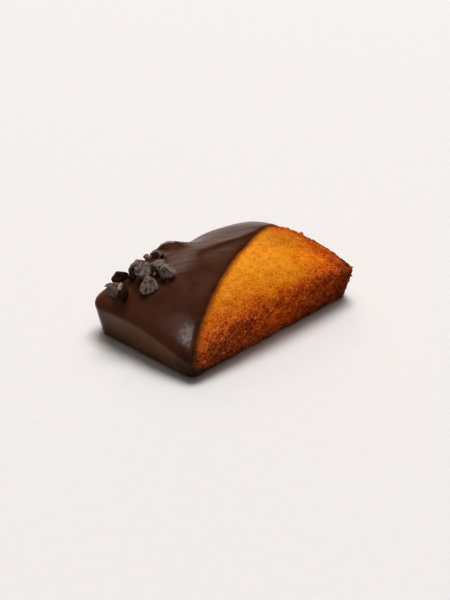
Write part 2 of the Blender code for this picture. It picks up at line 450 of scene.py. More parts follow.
# %% [markdown]
# ### Where the chocolate ends
#
# The cake was pushed into the chocolate along a nearly upright plane. Chocolate creeps a little
# between crumbs, so its edge wanders from that plane. Both pieces ask the same function how far
# past the edge a point lies, so that they agree on it.

# %% Past the dip line
EDGE_WANDERS = ((0.22 * MM, 5.0 * MM), (0.16 * MM, 1.3 * MM))
EDGE_SEED = 7.0


def past_dip(points):
    """How far each point lies beyond the chocolate's edge, less than 0 where the cake is bare."""
    distance = past_plane(points)
    for height, period in EDGE_WANDERS:
        distance += height * noise_at(points, period, EDGE_SEED)
    return distance


front_rim = np.array(((0.0, -WIDTH / 2, RIM_HEIGHT),))
print("bare middle of the front rim:", past_dip(front_rim) / MM, "mm")

# %% [markdown]
# ## Geometry Nodes from Python
#
# One helper makes a tree with a named input for each size, around a recipe that turns them into
# geometry. Another puts it on an object, sets those inputs by their identifiers, keeps the result
# as a plain mesh and takes the modifier off.


# %% Tree helpers
def new_tree(name, sizes, recipe, material):
    """A tree with a named input for each size. Its recipe turns the inputs into geometry."""
    tree = bpy.data.node_groups.new(name, "GeometryNodeTree")
    tree.interface.new_socket("Geometry", in_out="INPUT", socket_type="NodeSocketGeometry")
    for label in sizes:
        tree.interface.new_socket(label, in_out="INPUT", socket_type="NodeSocketFloat")
    tree.interface.new_socket("Geometry", in_out="OUTPUT", socket_type="NodeSocketGeometry")
    start = tree.nodes.new("NodeGroupInput")
    made = recipe({socket.name: Wire(tree, socket) for socket in start.outputs if socket.name})
    whole = made.node("GeometryNodeRealizeInstances", {0: made})
    finished = whole.node("GeometryNodeSetMaterial", {"Geometry": whole, "Material": material})
    tree.links.new(finished.socket, tree.nodes.new("NodeGroupOutput").inputs[0])
    return tree


def grow_tree(thing, name, sizes, recipe, material):
    """Swaps an object's mesh for the one that a tree makes of it."""
    modifier = thing.modifiers.new(name, "NODES")
    modifier.node_group = new_tree(name, sizes, recipe, material)
    for item in modifier.node_group.interface.items_tree:
        if item.name in sizes:
            modifier[item.identifier] = float(sizes[item.name])
    graph = bpy.context.evaluated_depsgraph_get()
    made = bpy.data.meshes.new_from_object(thing.evaluated_get(graph))
    thing.modifiers.remove(modifier)
    thing.data = made
    made.shade_smooth()
    print(thing.name, "has", sum(len(face.vertices) - 2 for face in made.polygons), "triangles")


def numbers_on(wire, *labels):
    """The numbers of these names that are stored on each point."""
    kind, settings = "GeometryNodeInputNamedAttribute", {"data_type": "FLOAT"}
    return [wire.node(kind, {"Name": label}, settings) for label in labels]


def store_number(geometry, label, number):
    """Stores a number of this name on each point."""
    inputs = {"Geometry": geometry, "Name": label, 3: number}
    return geometry.node("GeometryNodeStoreNamedAttribute", inputs, {"data_type": "FLOAT"})


def move_out(geometry, height):
    """Moves each point along its normal."""
    offset = geometry.node("GeometryNodeInputNormal").scaled(height)
    return geometry.node("GeometryNodeSetPosition", {"Geometry": geometry, "Offset": offset})


# %% Finish helper
def new_finish(name, recipe, **constants):
    """A material. Its recipe turns the object's own coordinates into wires for the shader."""
    material = bpy.data.materials.new(name)
    material.use_nodes = True
    tree = material.node_tree
    shader = tree.nodes["Principled BSDF"]
    for label, value in constants.items():
        shader.inputs[label.replace("_", " ")].default_value = value
    place = Wire(tree, tree.nodes.new("ShaderNodeTexCoord").outputs["Object"])
    for label, wire in recipe(place).items():
        tree.links.new(wire.socket, shader.inputs[label])
    return material


def painted(wire, *labels):
    """The same stored numbers, in a material."""
    kind = "ShaderNodeAttribute"
    return [wire.node(kind, None, {"attribute_name": label}, "Fac") for label in labels]


def bumped(height, distance):
    """A Bump node's normal for a height from 0 to 1 that stands for a real distance."""
    return height.node("ShaderNodeBump", {"Height": height, "Distance": distance})


# %% [markdown]
# ## The sponge
#
# The bare half is baked almond sponge: golden and soft on top, brown and rough round the rim and
# down the wall, where it touched the tin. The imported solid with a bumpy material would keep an
# outline as smooth as plastic. So it is rebuilt with a point every quarter of a millimetre where
# it is bare, and far fewer under the chocolate.

# %% How brown
CRUST_REACH = 1.9 * MM
CRUST_REACH_LEFT = 2.3 * MM
END_REACH = 11.6 * MM
WALL_BROWN = 0.07
FOOT_BROWN = 0.1
DARKEST_BAKE = 1.42
# Along Y in millimetres, the X past which the far end is darker, and how much darker it is
# everywhere past that line and close beside it.
FAR_END = ((-22.0, -14.7, -10.7, -2.4, 0.6, 6.0), (34.8, 34.2, 29.8, 28.8, 27.4, 23.0))
FAR_END_BROWN = 0.14
FAR_LINE_BROWN = 0.2
# Darker and lighter patches: X, Y, Z and reach in millimetres, and how much browner.
PATCHES = (
    (33.0, -20.0, 6.0, 9.0, 0.36),
    (17.0, -21.0, 4.0, 8.0, 0.20),
    (-25.0, -21.0, 2.0, 8.0, 0.30),
    (5.0, -20.0, 6.0, 6.0, -0.10),
    (-2.0, -16.0, 13.0, 6.0, -0.13),
    (31.0, -12.0, 15.0, 5.0, -0.20),
    (18.3, -13.4, 18.7, 4.5, 0.12),
    (12.5, -20.0, 11.5, 4.0, -0.20),
    (1.0, -19.5, 11.5, 3.0, -0.12),
    (7.6, -7.1, 21.1, 5.0, 0.09),
    (-14.0, -21.0, 8.0, 11.0, 0.08),
)


def browning(points, inwards):
    """How brown each place is baked: 0 golden, 1 at the rim, and more where it is darkest."""
    x = points[:, 0]
    reach = CRUST_REACH + CRUST_REACH_LEFT * smooth_step(-x, -10 * MM, 20 * MM)
    edge = 1 / (1 + (np.clip(inwards, 0.0, None) / reach) ** 2)
    end = 1 / (1 + ((LENGTH / 2 - x) / END_REACH) ** 4)
    brown = 1 - (1 - edge) * (1 - end)
    for centre_x, centre_y, centre_z, wide, amount in PATCHES:
        away = np.linalg.norm(points / MM - (centre_x, centre_y, centre_z), axis=1)
        brown += amount * np.exp(-((away / wide) ** 2))
    beyond = x - MM * np.interp(points[:, 1] / MM, *FAR_END)
    darker = FAR_END_BROWN + FAR_LINE_BROWN * smooth_step(beyond, 6.0 * MM, 1.0 * MM)
    brown += darker * smooth_step(beyond, -3.4 * MM, 0.4 * MM)
    brown += WALL_BROWN * smooth_step(-inwards, 0.0, 1.5 * MM)
    brown += FOOT_BROWN * smooth_step(-inwards, 6 * MM, 10 * MM)
    return np.minimum(brown, DARKEST_BAKE)


# %% Sponge mesh
SPONGE_FINE = 0.27 * MM
SPONGE_COARSE = 1.5 * MM
SPONGE_OVERLAP = 3.0 * MM
SPONGE_WALLS = np.linspace(0.0, 1.0, 40)[1:]
SPONGE_DOME = np.append(1 - np.arange(1, 103) * 0.0088, (0.07, 0.04))
SET_BACK_FROM = 0.4 * MM
SET_BACK_TO = 2.5 * MM


def make_sponge():
    """The whole cake, full size where it is bare and set back under the chocolate."""
    walk = rim_walk(SPONGE_OVERLAP, SPONGE_COARSE, SPONGE_FINE)
    rings = cake_rings(walk, 0.0, SPONGE_WALLS, SPONGE_DOME)
    points = np.vstack(rings)
    core = np.vstack(cake_rings(walk, -CORE_DEPTH, SPONGE_WALLS, SPONGE_DOME))[:, :3]
    points, inwards = points[:, :3], points[:, 3]
    dip = past_dip(points)
    covered = smooth_step(dip, SET_BACK_FROM, SET_BACK_TO)
    brown = browning(points, inwards)
    placed = points + (core - points) * covered[:, None]
    crust = np.clip(brown, 0.0, 1.0) * (points[:, 2] > 0.3 * MM)
    bare = (1 - covered) * smooth_step(points[:, 2], 0.1 * MM, 0.8 * MM)
    numbers = {"brown": brown, "crust": crust, "dip": dip / MM, "bare": bare}
    return add_mesh("sponge", placed, ring_faces(rings), numbers)


sponge = make_sponge()
print("sponge points:", len(sponge.data.vertices), "size in mm:", sponge.dimensions / MM)

# %% [markdown]
# ### Crumb
#
# Seen close, the surface is a field of grains with small pores between them, deeper and more
# ragged where it is browned. A tree moves every point along its normal by noise of three sizes.
# The number called crust says how brown a place is, so one rule serves the soft top and the rough
# rim.

# %% Crumb tree
CRUMB_SIZES = {
    "Lump size": 3.0 * MM,
    "Lump height": 0.8 * MM,
    "Grain size": 1.1 * MM,
    "Grain height": 1.1 * MM,
    "Pore size": 1.3 * MM,
    "Pore depth": 0.3 * MM,
}


def crumb(given):
    """Lumps, grains and pores on a baked surface. Their height is kept as the number relief."""
    geometry = given["Geometry"]
    place = geometry.node("GeometryNodeInputPosition")
    crust, bare = numbers_on(geometry, "crust", "bare")
    lumps = (place.grain(given["Lump size"], 2.0) - 0.5) * given["Lump height"]
    grit = (place.grain(given["Grain size"], 3.0, 0.65) - 0.5) * given["Grain height"]
    pores = place.cells(given["Pore size"]).step(0.42, 0.12) * given["Pore depth"]
    height = (lumps + grit - pores) * (0.3 + crust * 0.7) * bare
    kept_height = store_number(geometry, "relief", height * (1 / MM))
    return move_out(kept_height, height)


# %% [markdown]
# ### Colour of the bake
#
# The top is a strong golden orange, and the rim and wall go through orange to dark brown, all of it
# speckled, because each grain browns by itself. So the brownness is roughened by noise and then
# looked up in a row of colours. Pits are painted darker as shade, and the far part of the top is
# painted dimmer as shade. Pale flecks of sugar lie over that, with painted glints among them, and
# beside the chocolate the sponge is soaked and dark. It doesn't shine, so its specular is 0.

# %% Sponge finish
BAKES = (
    (0.0, (0.83, 0.30, 0.011, 1.0)),
    (0.25, (0.84, 0.225, 0.003, 1.0)),
    (0.5, (0.76, 0.160, 0.002, 1.0)),
    (0.75, (0.66, 0.103, 0.0012, 1.0)),
    (1.0, (0.46, 0.052, 0.0006, 1.0)),
    (1.3, (0.22, 0.021, 0.0006, 1.0)),
    (1.7, (0.06, 0.0075, 0.0010, 1.0)),
)
SUGAR_AND_GLINT = (0.80, 0.40, 0.18, 1.0)
SOAKED = (0.10, 0.033, 0.016, 1.0)
BLOTCH_SIZE = 4.0 * MM
CLOUD_SIZE = 2.5 * MM
SPECK_SIZE = 0.8 * MM
FLECK_SIZE = 0.42 * MM
PIT_SIZE = 0.35 * MM
PIT_DEPTH = 0.25 * MM
# Painted shade on the top: its middle, and how much nearer its edge is along Y than along X.
PAINTED_SHADE_PLACE = (25.0 * MM, 0.0, 0.0)
PAINTED_SHADE_SHARES = (1.0, 1.1, 0.0)
PAINTED_SHADE_AMOUNT = 0.3


def sponge_look(place):
    """Baked almond sponge, golden to dark brown."""
    brown, crust, relief, tone, dip = painted(place, "brown", "crust", "relief", "tone", "dip")
    blotch = place.grain(BLOTCH_SIZE) - 0.5
    cloud = place.grain(CLOUD_SIZE)
    speck = place.grain(SPECK_SIZE, 3.0, 0.75) - 0.5
    fleck = place.grain(FLECK_SIZE, 2.0, 0.6)
    soaked = dip.step(-2.0, 0.3)
    # How far baked: soaked sponge is darker, pits are painted darker as shade, each grain has its
    # tone.
    bake = brown + soaked * 0.35 - relief * 0.6 + tone * 0.3
    bake = bake + blotch * (0.35 + crust * 0.4) + speck * (0.8 + crust * 0.1)
    bake = bake - (fleck - 0.5) * 1.1 - (cloud - 0.5) * 0.7
    light = 1.0 + (fleck - 0.5) * (0.7 - crust * 0.2) + (cloud - 0.5) * 0.4
    # Painted shade: the far part of the top is made dimmer.
    painted_shade = place.away_from(PAINTED_SHADE_PLACE, PAINTED_SHADE_SHARES).step(21.0 * MM, 7.0 * MM) * PAINTED_SHADE_AMOUNT
    colour = bake.ramp(BAKES).scaled(light * (1 - painted_shade))
    # Sugar with painted glints: most of it near the dip line and on the crust, least where darkest.
    sugar_and_glint = fleck.step(0.48, 0.75) * 0.26 + cloud.step(0.45, 0.8) * 0.04
    sugar_and_glint = sugar_and_glint * (0.6 + dip.step(-15.0, -3.0) * 0.7 + crust * 0.5)
    colour = (sugar_and_glint * (1 - brown.step(1.1, 1.6) * 0.6)).blend(colour, SUGAR_AND_GLINT)
    # Some scattered grains are painted pale, as sugar and as glints.
    colour = (tone.step(-0.86, -1.0) * 0.6).blend(colour, SUGAR_AND_GLINT)
    colour = soaked.blend(colour, SOAKED)
    pits = bumped(place.grain(PIT_SIZE, 2.0, 0.6), PIT_DEPTH)
    return {"Base Color": colour, "Normal": pits}


baked_sponge = new_finish("baked_sponge", sponge_look, Specular_IOR_Level=0.0)
grow_tree(sponge, "baked_crumb", CRUMB_SIZES, crumb, baked_sponge)

# %% [markdown]
# ### Crumbs that stand out
#
# Round the rim single grains of sugar and almond stand proud, and a few are painted pale as glints.
# They are real meshes of twenty faces each, scattered by a second tree: points fall at random,
# thickest on the brownest crust, and a small lump with its own turn and size is set on each. The
# seed is fixed.

# %% Scatter tree
GRAIN_SIZES = {"Density": 1.3 / MM**2, "Smallest": 0.2 * MM, "Largest": 0.8 * MM, "Sink": 0.1 * MM}
GRAIN_SEED = 3
NO_TURN, FULL_TURN = (0.0, 0.0, 0.0), (6.28, 6.28, 6.28)
FLATTEST, FULLEST = (0.6, 0.6, 0.6), (1.3, 1.3, 1.3)


def drawn(wire, kind, low, high, step):
    """A FLOAT or a FLOAT_VECTOR from low to high, drawn for each point."""
    first = 2 if kind == "FLOAT" else 0
    inputs = {first: low, first + 1: high, "Seed": GRAIN_SEED + step}
    return wire.node("FunctionNodeRandomValue", inputs, {"data_type": kind}, first // 2)


def scatter(given):
    """Twenty-faced grains on a surface, as thick as the number called grain_share says."""
    geometry = given["Geometry"]
    amount = numbers_on(geometry, "grain_share")[0] * given["Density"]
    inputs = {"Mesh": geometry, "Density": amount, "Seed": GRAIN_SEED}
    points = geometry.node("GeometryNodeDistributePointsOnFaces", inputs)
    normal = Wire(points.tree, points.socket.node.outputs["Normal"])
    points = store_number(points, "tone", drawn(geometry, "FLOAT", -1.0, 1.0, 3))
    lump = geometry.node("GeometryNodeMeshIcoSphere", {"Radius": 0.5, "Subdivisions": 1})
    turn = drawn(geometry, "FLOAT_VECTOR", NO_TURN, FULL_TURN, 0)
    shape = drawn(geometry, "FLOAT_VECTOR", FLATTEST, FULLEST, 1)
    chance = drawn(geometry, "FLOAT", 0.0, 1.0, 2)
    size = given["Smallest"] + (given["Largest"] - given["Smallest"]) * chance**3.0
    inputs = {"Points": points, "Instance": lump, "Rotation": turn, "Scale": shape.scaled(size)}
    placed = geometry.node("GeometryNodeInstanceOnPoints", inputs)
    sunk = normal.scaled(given["Sink"] * -1.0)
    inputs = {"Instances": placed, "Translation": sunk, "Local Space": False}
    return placed.node("GeometryNodeTranslateInstances", inputs)


# %% Grains
# How thick the grains lie: on bare crust, and none on the underside.
baked = sponge.data
crust, dip = (np.zeros(len(baked.vertices), np.float32) for _ in range(2))
baked.attributes["crust"].data.foreach_get("value", crust)
baked.attributes["dip"].data.foreach_get("value", dip)
heights = np.array([vertex.co.z for vertex in baked.vertices])
share = crust**2 * (dip < -0.3) * (heights > 0.4 * MM)
baked.attributes.new("grain_share", "FLOAT", "POINT").data.foreach_set("value", share)
grains = add_object("crust_grains", sponge.data)
grow_tree(grains, "grain_scatter", GRAIN_SIZES, scatter, baked_sponge)

# %% [markdown]
# ## Cocoa nibs
#
# Nibs are roasted cocoa beans cracked into chips. A lump reaches as far in each direction as the
# nearest of ten flat facets allows, and a high power mean of the facets softens the edges between
# them. Stretched noise adds the grooves of the bean. The foot of each nib is dark, partly from the
# chocolate that wetted it and partly as painted shade, and a few small ones are dark right over
# with chocolate. One nib keeps a pale flake of husk.

# %% Nib table
# X, Y, depth, width, height in millimetres; turn and pitch in degrees; the draw of facets; how much
# it broadens towards its near end; hollow; and the share that is dark at the foot, wetted with
# chocolate and painted as shade.
NIBS = (
    (-24.4, 7.7, 5.6, 6.4, 5.6, -136, 0, 29, 0, 0, 0.34),
    (-21.5, 1.4, 5.2, 5.4, 5.0, -136, 0, 12, 0, 0, 0.36),
    (-27.2, 3.7, 6.0, 6.8, 3.4, -136, 12, 53, 0.55, 0.0, 0.40),
    (-32.0, 10.5, 6.2, 7.4, 6.6, 44, 8, 237, 0, 0, 0.72),
    (-27.3, 15.0, 5.0, 5.8, 4.0, -136, 25, 38, 0.0, 0.35, 0.90),
    (-23.3, 12.0, 5.0, 6.2, 4.8, -136, 0, 25, 0, 0, 0.50),
    (-20.9, 5.9, 5.0, 5.2, 4.8, -136, 0, 4, 0, 0, 0.12),
    (-14.6, 14.3, 2.6, 3.4, 2.2, -136, 0, 3, 0, 0, 0.25),
    (-15.2, 10.5, 3.2, 2.6, 2.3, -136, 0, 7, 0, 0, 0.85),
    (-15.4, 12.4, 2.4, 2.6, 1.9, -110, 0, 8, 0, 0, 0.95),
    (-15.6, 16.6, 2.4, 2.2, 1.8, -136, 0, 10, 0, 0, 0.40),
    (-28.6, 19.0, 3.8, 1.8, 1.3, -46, 14, 5, 0, 0, 0.50),
    (-25.9, 11.2, 3.0, 3.4, 2.8, -136, 0, 11, 0, 0, 1.20),
    (-10.0, 14.4, 3.2, 4.0, 0.4, -136, 0, 13, 0, 0, 1.20),
    (-8.2, 12.9, 2.2, 2.4, 0.4, -136, 0, 15, 0, 0, 1.20),
)
NIB_SUNK = 0.08
LARGE_NIB = 4.0
FACETS = 10
FACET_NEAREST = 0.55
EDGE_SOFTNESS = 18
LUMP_REACH = 0.85
NO_FACET = 1e-9
# Rows of relief on a nib: height and size in millimetres, and how stretched it is along X.
CHIPPED = ((0.22, 0.9, 0.4), (0.10, 0.4, 1.0))
GROOVE_DEPTH = 0.35
GROOVE_SIZE = 1.9
GROOVE_STRETCH = 0.45
# The nib that keeps its husk, the side where that lies, and how far the rest is wetted and shaded.
HUSK_NIB = 3
HUSK_SIDE = (0.03, -0.95, 0.31)
HUSK_ELSEWHERE = 0.08
HUSK_NIB_WET_AND_SHADE = 0.5


# %% One nib
def chipped_reach(ways, draw_number):
    """How far a chipped lump reaches along each unit vector, and 1 on its edges, less elsewhere."""
    draw = np.random.default_rng(draw_number)
    facets = draw.normal(size=(FACETS, 3))
    facets /= np.linalg.norm(facets, axis=1, keepdims=True)
    towards = np.clip(ways @ facets.T, 0.0, 1.0) / draw.uniform(FACET_NEAREST, 1.0, FACETS)
    powers = (towards**EDGE_SOFTNESS).sum(axis=1) + LUMP_REACH**EDGE_SOFTNESS
    reach = powers ** (-1 / EDGE_SOFTNESS)
    ranked = np.sort(towards, axis=1)
    return reach / reach.max(), ranked[:, -2] / np.maximum(ranked[:, -1], NO_FACET)


def nib_points(row, ways):
    """Points of one nib about the origin, their scuffed and lit edges, and their wet and shaded
    foot.
    """
    _, _, depth, width, height, _, _, draw_number, broaden, hollow, wetted_and_shaded = row
    reach, scuffed = chipped_reach(ways, draw_number)
    inside = smooth_step(ways[:, 2], 0.35, 0.9) * (hollow > 0)
    size = np.array((depth, width, height)) * MM / 2
    points = ways * (reach - hollow * inside)[:, None] * size
    points[:, 1] *= 1 + broaden * ways[:, 0]
    along = points * (GROOVE_STRETCH, 1, 1)
    groove = np.abs(noise_at(along, GROOVE_SIZE * MM, draw_number + 50))
    rough = -GROOVE_DEPTH * groove * min(1.0, height / LARGE_NIB)
    for high, period, stretch in CHIPPED:
        rough += high * noise_at(points * (stretch, 1, 1), period * MM, draw_number)
    level = points[:, 2] / size[2] / 2 + 0.5 + 0.1 * noise_at(points, 1.2 * MM, draw_number)
    # The foot is dark: wetted with chocolate, and painted shade.
    wet = np.maximum(inside, 1 - smooth_step(level, wetted_and_shaded - 0.12, wetted_and_shaded + 0.12))
    return points + ways * (rough * MM)[:, None], scuffed, wet


def icosphere(subdivisions):
    """Unit vectors and faces of an icosphere."""
    ball = bmesh.new()
    bmesh.ops.create_icosphere(ball, subdivisions=subdivisions, radius=1.0)
    ways = np.array([vertex.co.normalized() for vertex in ball.verts])
    faces = np.array([[vertex.index for vertex in face.verts] for face in ball.faces])
    ball.free()
    return ways, faces


# %% The coat's plain outside, on which the nibs rest
COAT_OVERLAP = -2.0 * MM
COAT_FINE = 0.34 * MM
COAT_COARSE = 1.6 * MM
COAT_WALLS = np.linspace(0.0, 1.0, 30)[1:]
COAT_DOME = np.append(1 - np.arange(1, 84) * 0.0112, (0.05, 0.025))

coat_walk = rim_walk(COAT_OVERLAP, COAT_FINE, COAT_COARSE)
coat_rings = cake_rings(coat_walk, 0.0, COAT_WALLS, COAT_DOME)
coat_faces = ring_faces(coat_rings)
coat_proud = np.vstack(cake_rings(coat_walk, COAT_PROUD, COAT_WALLS, COAT_DOME))[:, :3]
coat_surface = BVHTree.FromPolygons(coat_proud.tolist(), coat_faces)


# %% All the nibs
def place_nib(row, points):
    """Sets a nib's points on the coat, turned, pitched and a little sunk."""
    x, y, _, _, height, turn, pitch = row[:7]
    up = Vector((0.0, 0.0, 1.0))
    spot, normal, _, _ = coat_surface.ray_cast(Vector((x * MM, y * MM, LENGTH)), -up)
    lift = Matrix.Translation(spot + normal * height * MM * (0.5 - NIB_SUNK))
    lean = up.rotation_difference(normal).to_matrix().to_4x4()
    spin = Matrix.Rotation(radians(turn), 4, "Z") @ Matrix.Rotation(radians(pitch), 4, "Y")
    matrix = np.array(lift @ lean @ spin)
    return points @ matrix[:3, :3].T + matrix[:3, 3]


def make_nibs():
    """All the nibs as one piece, with numbers for lit scuffed edges, wet and shaded feet, and husk.
    """
    points, faces, numbers = [], [], []
    for index, row in enumerate(NIBS):
        ways, ball = icosphere(6 if row[2] > LARGE_NIB else 4)
        faces.append(ball + sum(len(part) for part in points))
        shape, scuffed, wet = nib_points(row, ways)
        points.append(place_nib(row, shape))
        husk = np.zeros(len(ways))
        if index == HUSK_NIB:
            husk = HUSK_ELSEWHERE + smooth_step(ways @ np.array(HUSK_SIDE), 0.84, 0.92)
            # Outside its husk, the husk nib is painted darker, as wet chocolate and as shade.
            wet = np.where(husk < 0.5, np.maximum(wet, HUSK_NIB_WET_AND_SHADE), wet)
        numbers.append((scuffed, wet, husk))
    named = dict(zip(("scuffed", "wet", "husk"), np.hstack(numbers)))
    return add_mesh("cocoa_nibs", np.vstack(points), np.vstack(faces), named)


nibs = make_nibs()
print("nib triangles:", len(nibs.data.polygons))


# %% [markdown]
# ### Roasted cocoa
#
# A broken bean is dull: dark where it is bare, grey-brown where dust lies on it, and lighter on
# scuffed edges, which also carry a painted highlight. One noise, taller than it is wide, spreads
# the dust, and a finer one adds flecks. The stored numbers say where an edge, wet chocolate with
# painted shade, and husk are.

# %% Nib finish
DULL = ((0.018, 0.010, 0.009, 1.0), (0.24, 0.176, 0.150, 1.0))
SCUFFED_AND_LIT = (0.33, 0.255, 0.225, 1.0)
HUSK = (0.80, 0.48, 0.39, 1.0)
WETTED_AND_SHADED = (0.026, 0.0075, 0.0035, 1.0)
DUST_SIZE = 0.75 * MM
DUST_STRETCH = (1.0, 1.0, 0.45)
NIB_FLECK_SIZE = 0.35 * MM
NIB_PIT_DEPTH = 0.08 * MM


def nib_look(place):
    """Roasted cocoa, dull and dusty, edges scuffed and painted light, foot dark with chocolate and
    shade.
    """
    dust = place.vector("MULTIPLY", DUST_STRETCH).grain(DUST_SIZE, 3.0, 0.7)
    fleck = place.grain(NIB_FLECK_SIZE, 2.0, 0.6)
    scuffed, wet, husk = painted(place, "scuffed", "wet", "husk")
    # Lighter edges: scuffed, and painted highlights.
    scuff_and_highlight = scuffed.step(0.9, 1.0) * dust * 0.8 + fleck.step(0.56, 0.7) * 0.55
    colour = dust.step(0.31, 0.64).blend(*DULL)
    for share, layer in ((scuff_and_highlight.clamp(), SCUFFED_AND_LIT), (husk, HUSK), (wet, WETTED_AND_SHADED)):
        colour = share.blend(colour, layer)
    roughness = 0.75 + dust * 0.2 - wet * 0.35
    pits = bumped(fleck, NIB_PIT_DEPTH)
    return {"Base Color": colour, "Roughness": roughness, "Normal": pits}


nibs.data.materials.append(new_finish("roasted_cocoa", nib_look, Specular_IOR_Level=0.08))

# %% [markdown]
# ## Loose crumbs
#
# A few flakes of crust have lifted along the far edge and at the tip, and break the outline.
# They are chipped lumps like the nibs, half sunk in the sponge where the photograph shows them.

# %% Crumb table
# X, Y, Z, length, width, height in millimetres, and how brown.
LIFTED = (
    (26.2, 1.4, 18.5, 2.3, 1.7, 0.8, 0.8),
    (27.4, 0.1, 18.2, 2.6, 1.9, 0.9, 0.7),
    (28.1, -2.4, 17.9, 1.6, 1.2, 0.7, 0.9),
    (29.4, -3.9, 17.3, 2.6, 1.9, 1.0, 0.75),
    (29.2, -8.6, 16.9, 1.3, 1.0, 0.7, 0.8),
    (34.8, -19.5, 9.4, 1.2, 1.0, 0.8, 0.8),
    (32.4, -20.9, 10.4, 1.3, 1.1, 0.8, 1.0),
    (33.3, -20.8, 7.8, 1.0, 0.9, 0.8, 1.0),
)
CRUMB_ROUGHNESS = 0.3
CRUMB_LUMPS = 0.7
CRUMB_TURN = 2.4


def make_crumbs():
    """All the loose crumbs as one piece, coloured like the crust that they came from."""
    ways, ball = icosphere(3)
    points, faces, brown = [], [], []
    for index, (x, y, z, *size, baked) in enumerate(LIFTED):
        reach, _ = chipped_reach(ways, index)
        reach *= 1 + CRUMB_ROUGHNESS * noise_at(ways, CRUMB_LUMPS, index)
        shape = ways * reach[:, None] * np.array(size) * MM / 2
        spin = np.array(Matrix.Rotation(index * CRUMB_TURN, 3, "Z"))
        faces.append(ball + index * len(ways))
        points.append(shape @ spin.T + np.array((x, y, z)) * MM)
        brown += [baked] * len(ways)
    # As on the sponge: half crust, and nine millimetres from the dip line.
    numbers = {"brown": brown, "crust": [0.5] * len(brown), "dip": [-9.0] * len(brown)}
    made = add_mesh("loose_crumbs", np.vstack(points), np.vstack(faces), numbers)
    made.data.materials.append(baked_sponge)
    return made


crumbs = make_crumbs()
print("loose crumbs:", len(LIFTED))

# %% [markdown]
# ## The chocolate coat
#
# Set chocolate is a thin shell that follows the cake, with a rounded edge that feathers onto the
# sponge, and it climbs a little round each nib. The whole cake's rings are cut along the dip
# line, with extra cuts close beside it, so that the edge has points enough to be round. A second
# layer of the same faces closes the shell on the inside.

# %% Cutting the coat
EDGE_CUTS = np.array((0.0, 0.08, 0.2, 0.38, 0.65, 1.0)) * MM
CUT_EXACTNESS = 1e-7


def cut_at_dip(points, faces, layers):
    """The covered part of a mesh, cut along the wandering dip line, with its point layers."""
    shell = bmesh.new()
    handles = {name: shell.verts.layers.float_vector.new(name) for name in layers}
    wander = shell.verts.layers.float.new("wander")
    bend = past_dip(points) - past_plane(points)
    for index, point in enumerate(points):
        vertex = shell.verts.new(point + DIP_NORMAL * bend[index])
        vertex[wander] = bend[index]
        for name, handle in handles.items():
            vertex[handle] = layers[name][index]
    shell.verts.ensure_lookup_table()
    for face in faces:
        shell.faces.new([shell.verts[number] for number in face])
    for cut in reversed(EDGE_CUTS):
        whole = shell.verts[:] + shell.edges[:] + shell.faces[:]
        plane = {"plane_co": DIP_NORMAL * (cut - DIP_SETBACK), "plane_no": DIP_NORMAL}
        bmesh.ops.bisect_plane(shell, geom=whole, dist=CUT_EXACTNESS, clear_inner=not cut, **plane)
    shell.verts.index_update()
    past = past_plane(np.array([vertex.co[:] for vertex in shell.verts]))
    for vertex in shell.verts:
        vertex.co -= Vector(DIP_NORMAL) * vertex[wander]
    return shell, handles, np.clip(past, 0.0, None)


# %% The fold along the crest
# Along the fold, in millimetres: X and Y, its height, and its reach to the far and the near side.
FOLD = (
    (-19.0, 0.8, 0.0, 4.0, 3.0),
    (-13.8, 2.6, 0.2, 5.0, 4.0),
    (-6.2, 4.6, 0.55, 4.0, 2.2),
    (0.7, 3.2, 0.45, 2.6, 0.9),
    (7.8, 1.6, 0.45, 2.2, 0.8),
    (12.2, 1.8, 0.3, 2.0, 0.8),
    (16.0, 2.5, 0.0, 2.0, 0.8),
)


def fold_height(points):
    """Height of the long soft fold in which the chocolate set along the crest."""
    x, y = points[:, :2].T / MM
    along, *rows = np.array(FOLD).T
    line, height, far, near = (np.interp(x, along, row) for row in rows)
    beyond = y - line
    return MM * height * np.exp(-((beyond / np.where(beyond < 0, near, far)) ** 2))


# %% The shell
EDGE_WIDTH = 1.5 * MM
EDGE_LOW = 0.22 * MM
CLIMB = 0.7 * MM
CLIMB_REACH = 0.7 * MM


def shell_places(shell, handles, past):
    """Where each point of the shell lies outside and inside, and how far it climbs to a nib."""
    around = BVHTree.FromObject(nibs, bpy.context.evaluated_depsgraph_get())
    shell.normal_update()
    folds = fold_height(np.array([vertex.co[:] for vertex in shell.verts]))
    outside, inside, climbs = [], [], []
    for vertex, beyond, fold in zip(shell.verts, past, folds):
        share = min(beyond / EDGE_WIDTH, 1.0)
        bead = sqrt(1 - (1 - share) ** 2)
        rise = (EDGE_LOW + COAT_PROUD) * bead - EDGE_LOW
        place = vertex.co + vertex[handles["proud"]] * (rise / COAT_PROUD)
        climbs.append(exp(-around.find_nearest(place)[3] / CLIMB_REACH))
        place += vertex.normal * (CLIMB * climbs[-1] + fold * (place.z > RIM_HEIGHT)) * bead
        outside.append(place)
        deeper = EDGE_LOW + (COAT_DEPTH - EDGE_LOW) * share
        inside.append(vertex.co + vertex[handles["deep"]] * (deeper / COAT_DEPTH))
    return outside, inside, climbs


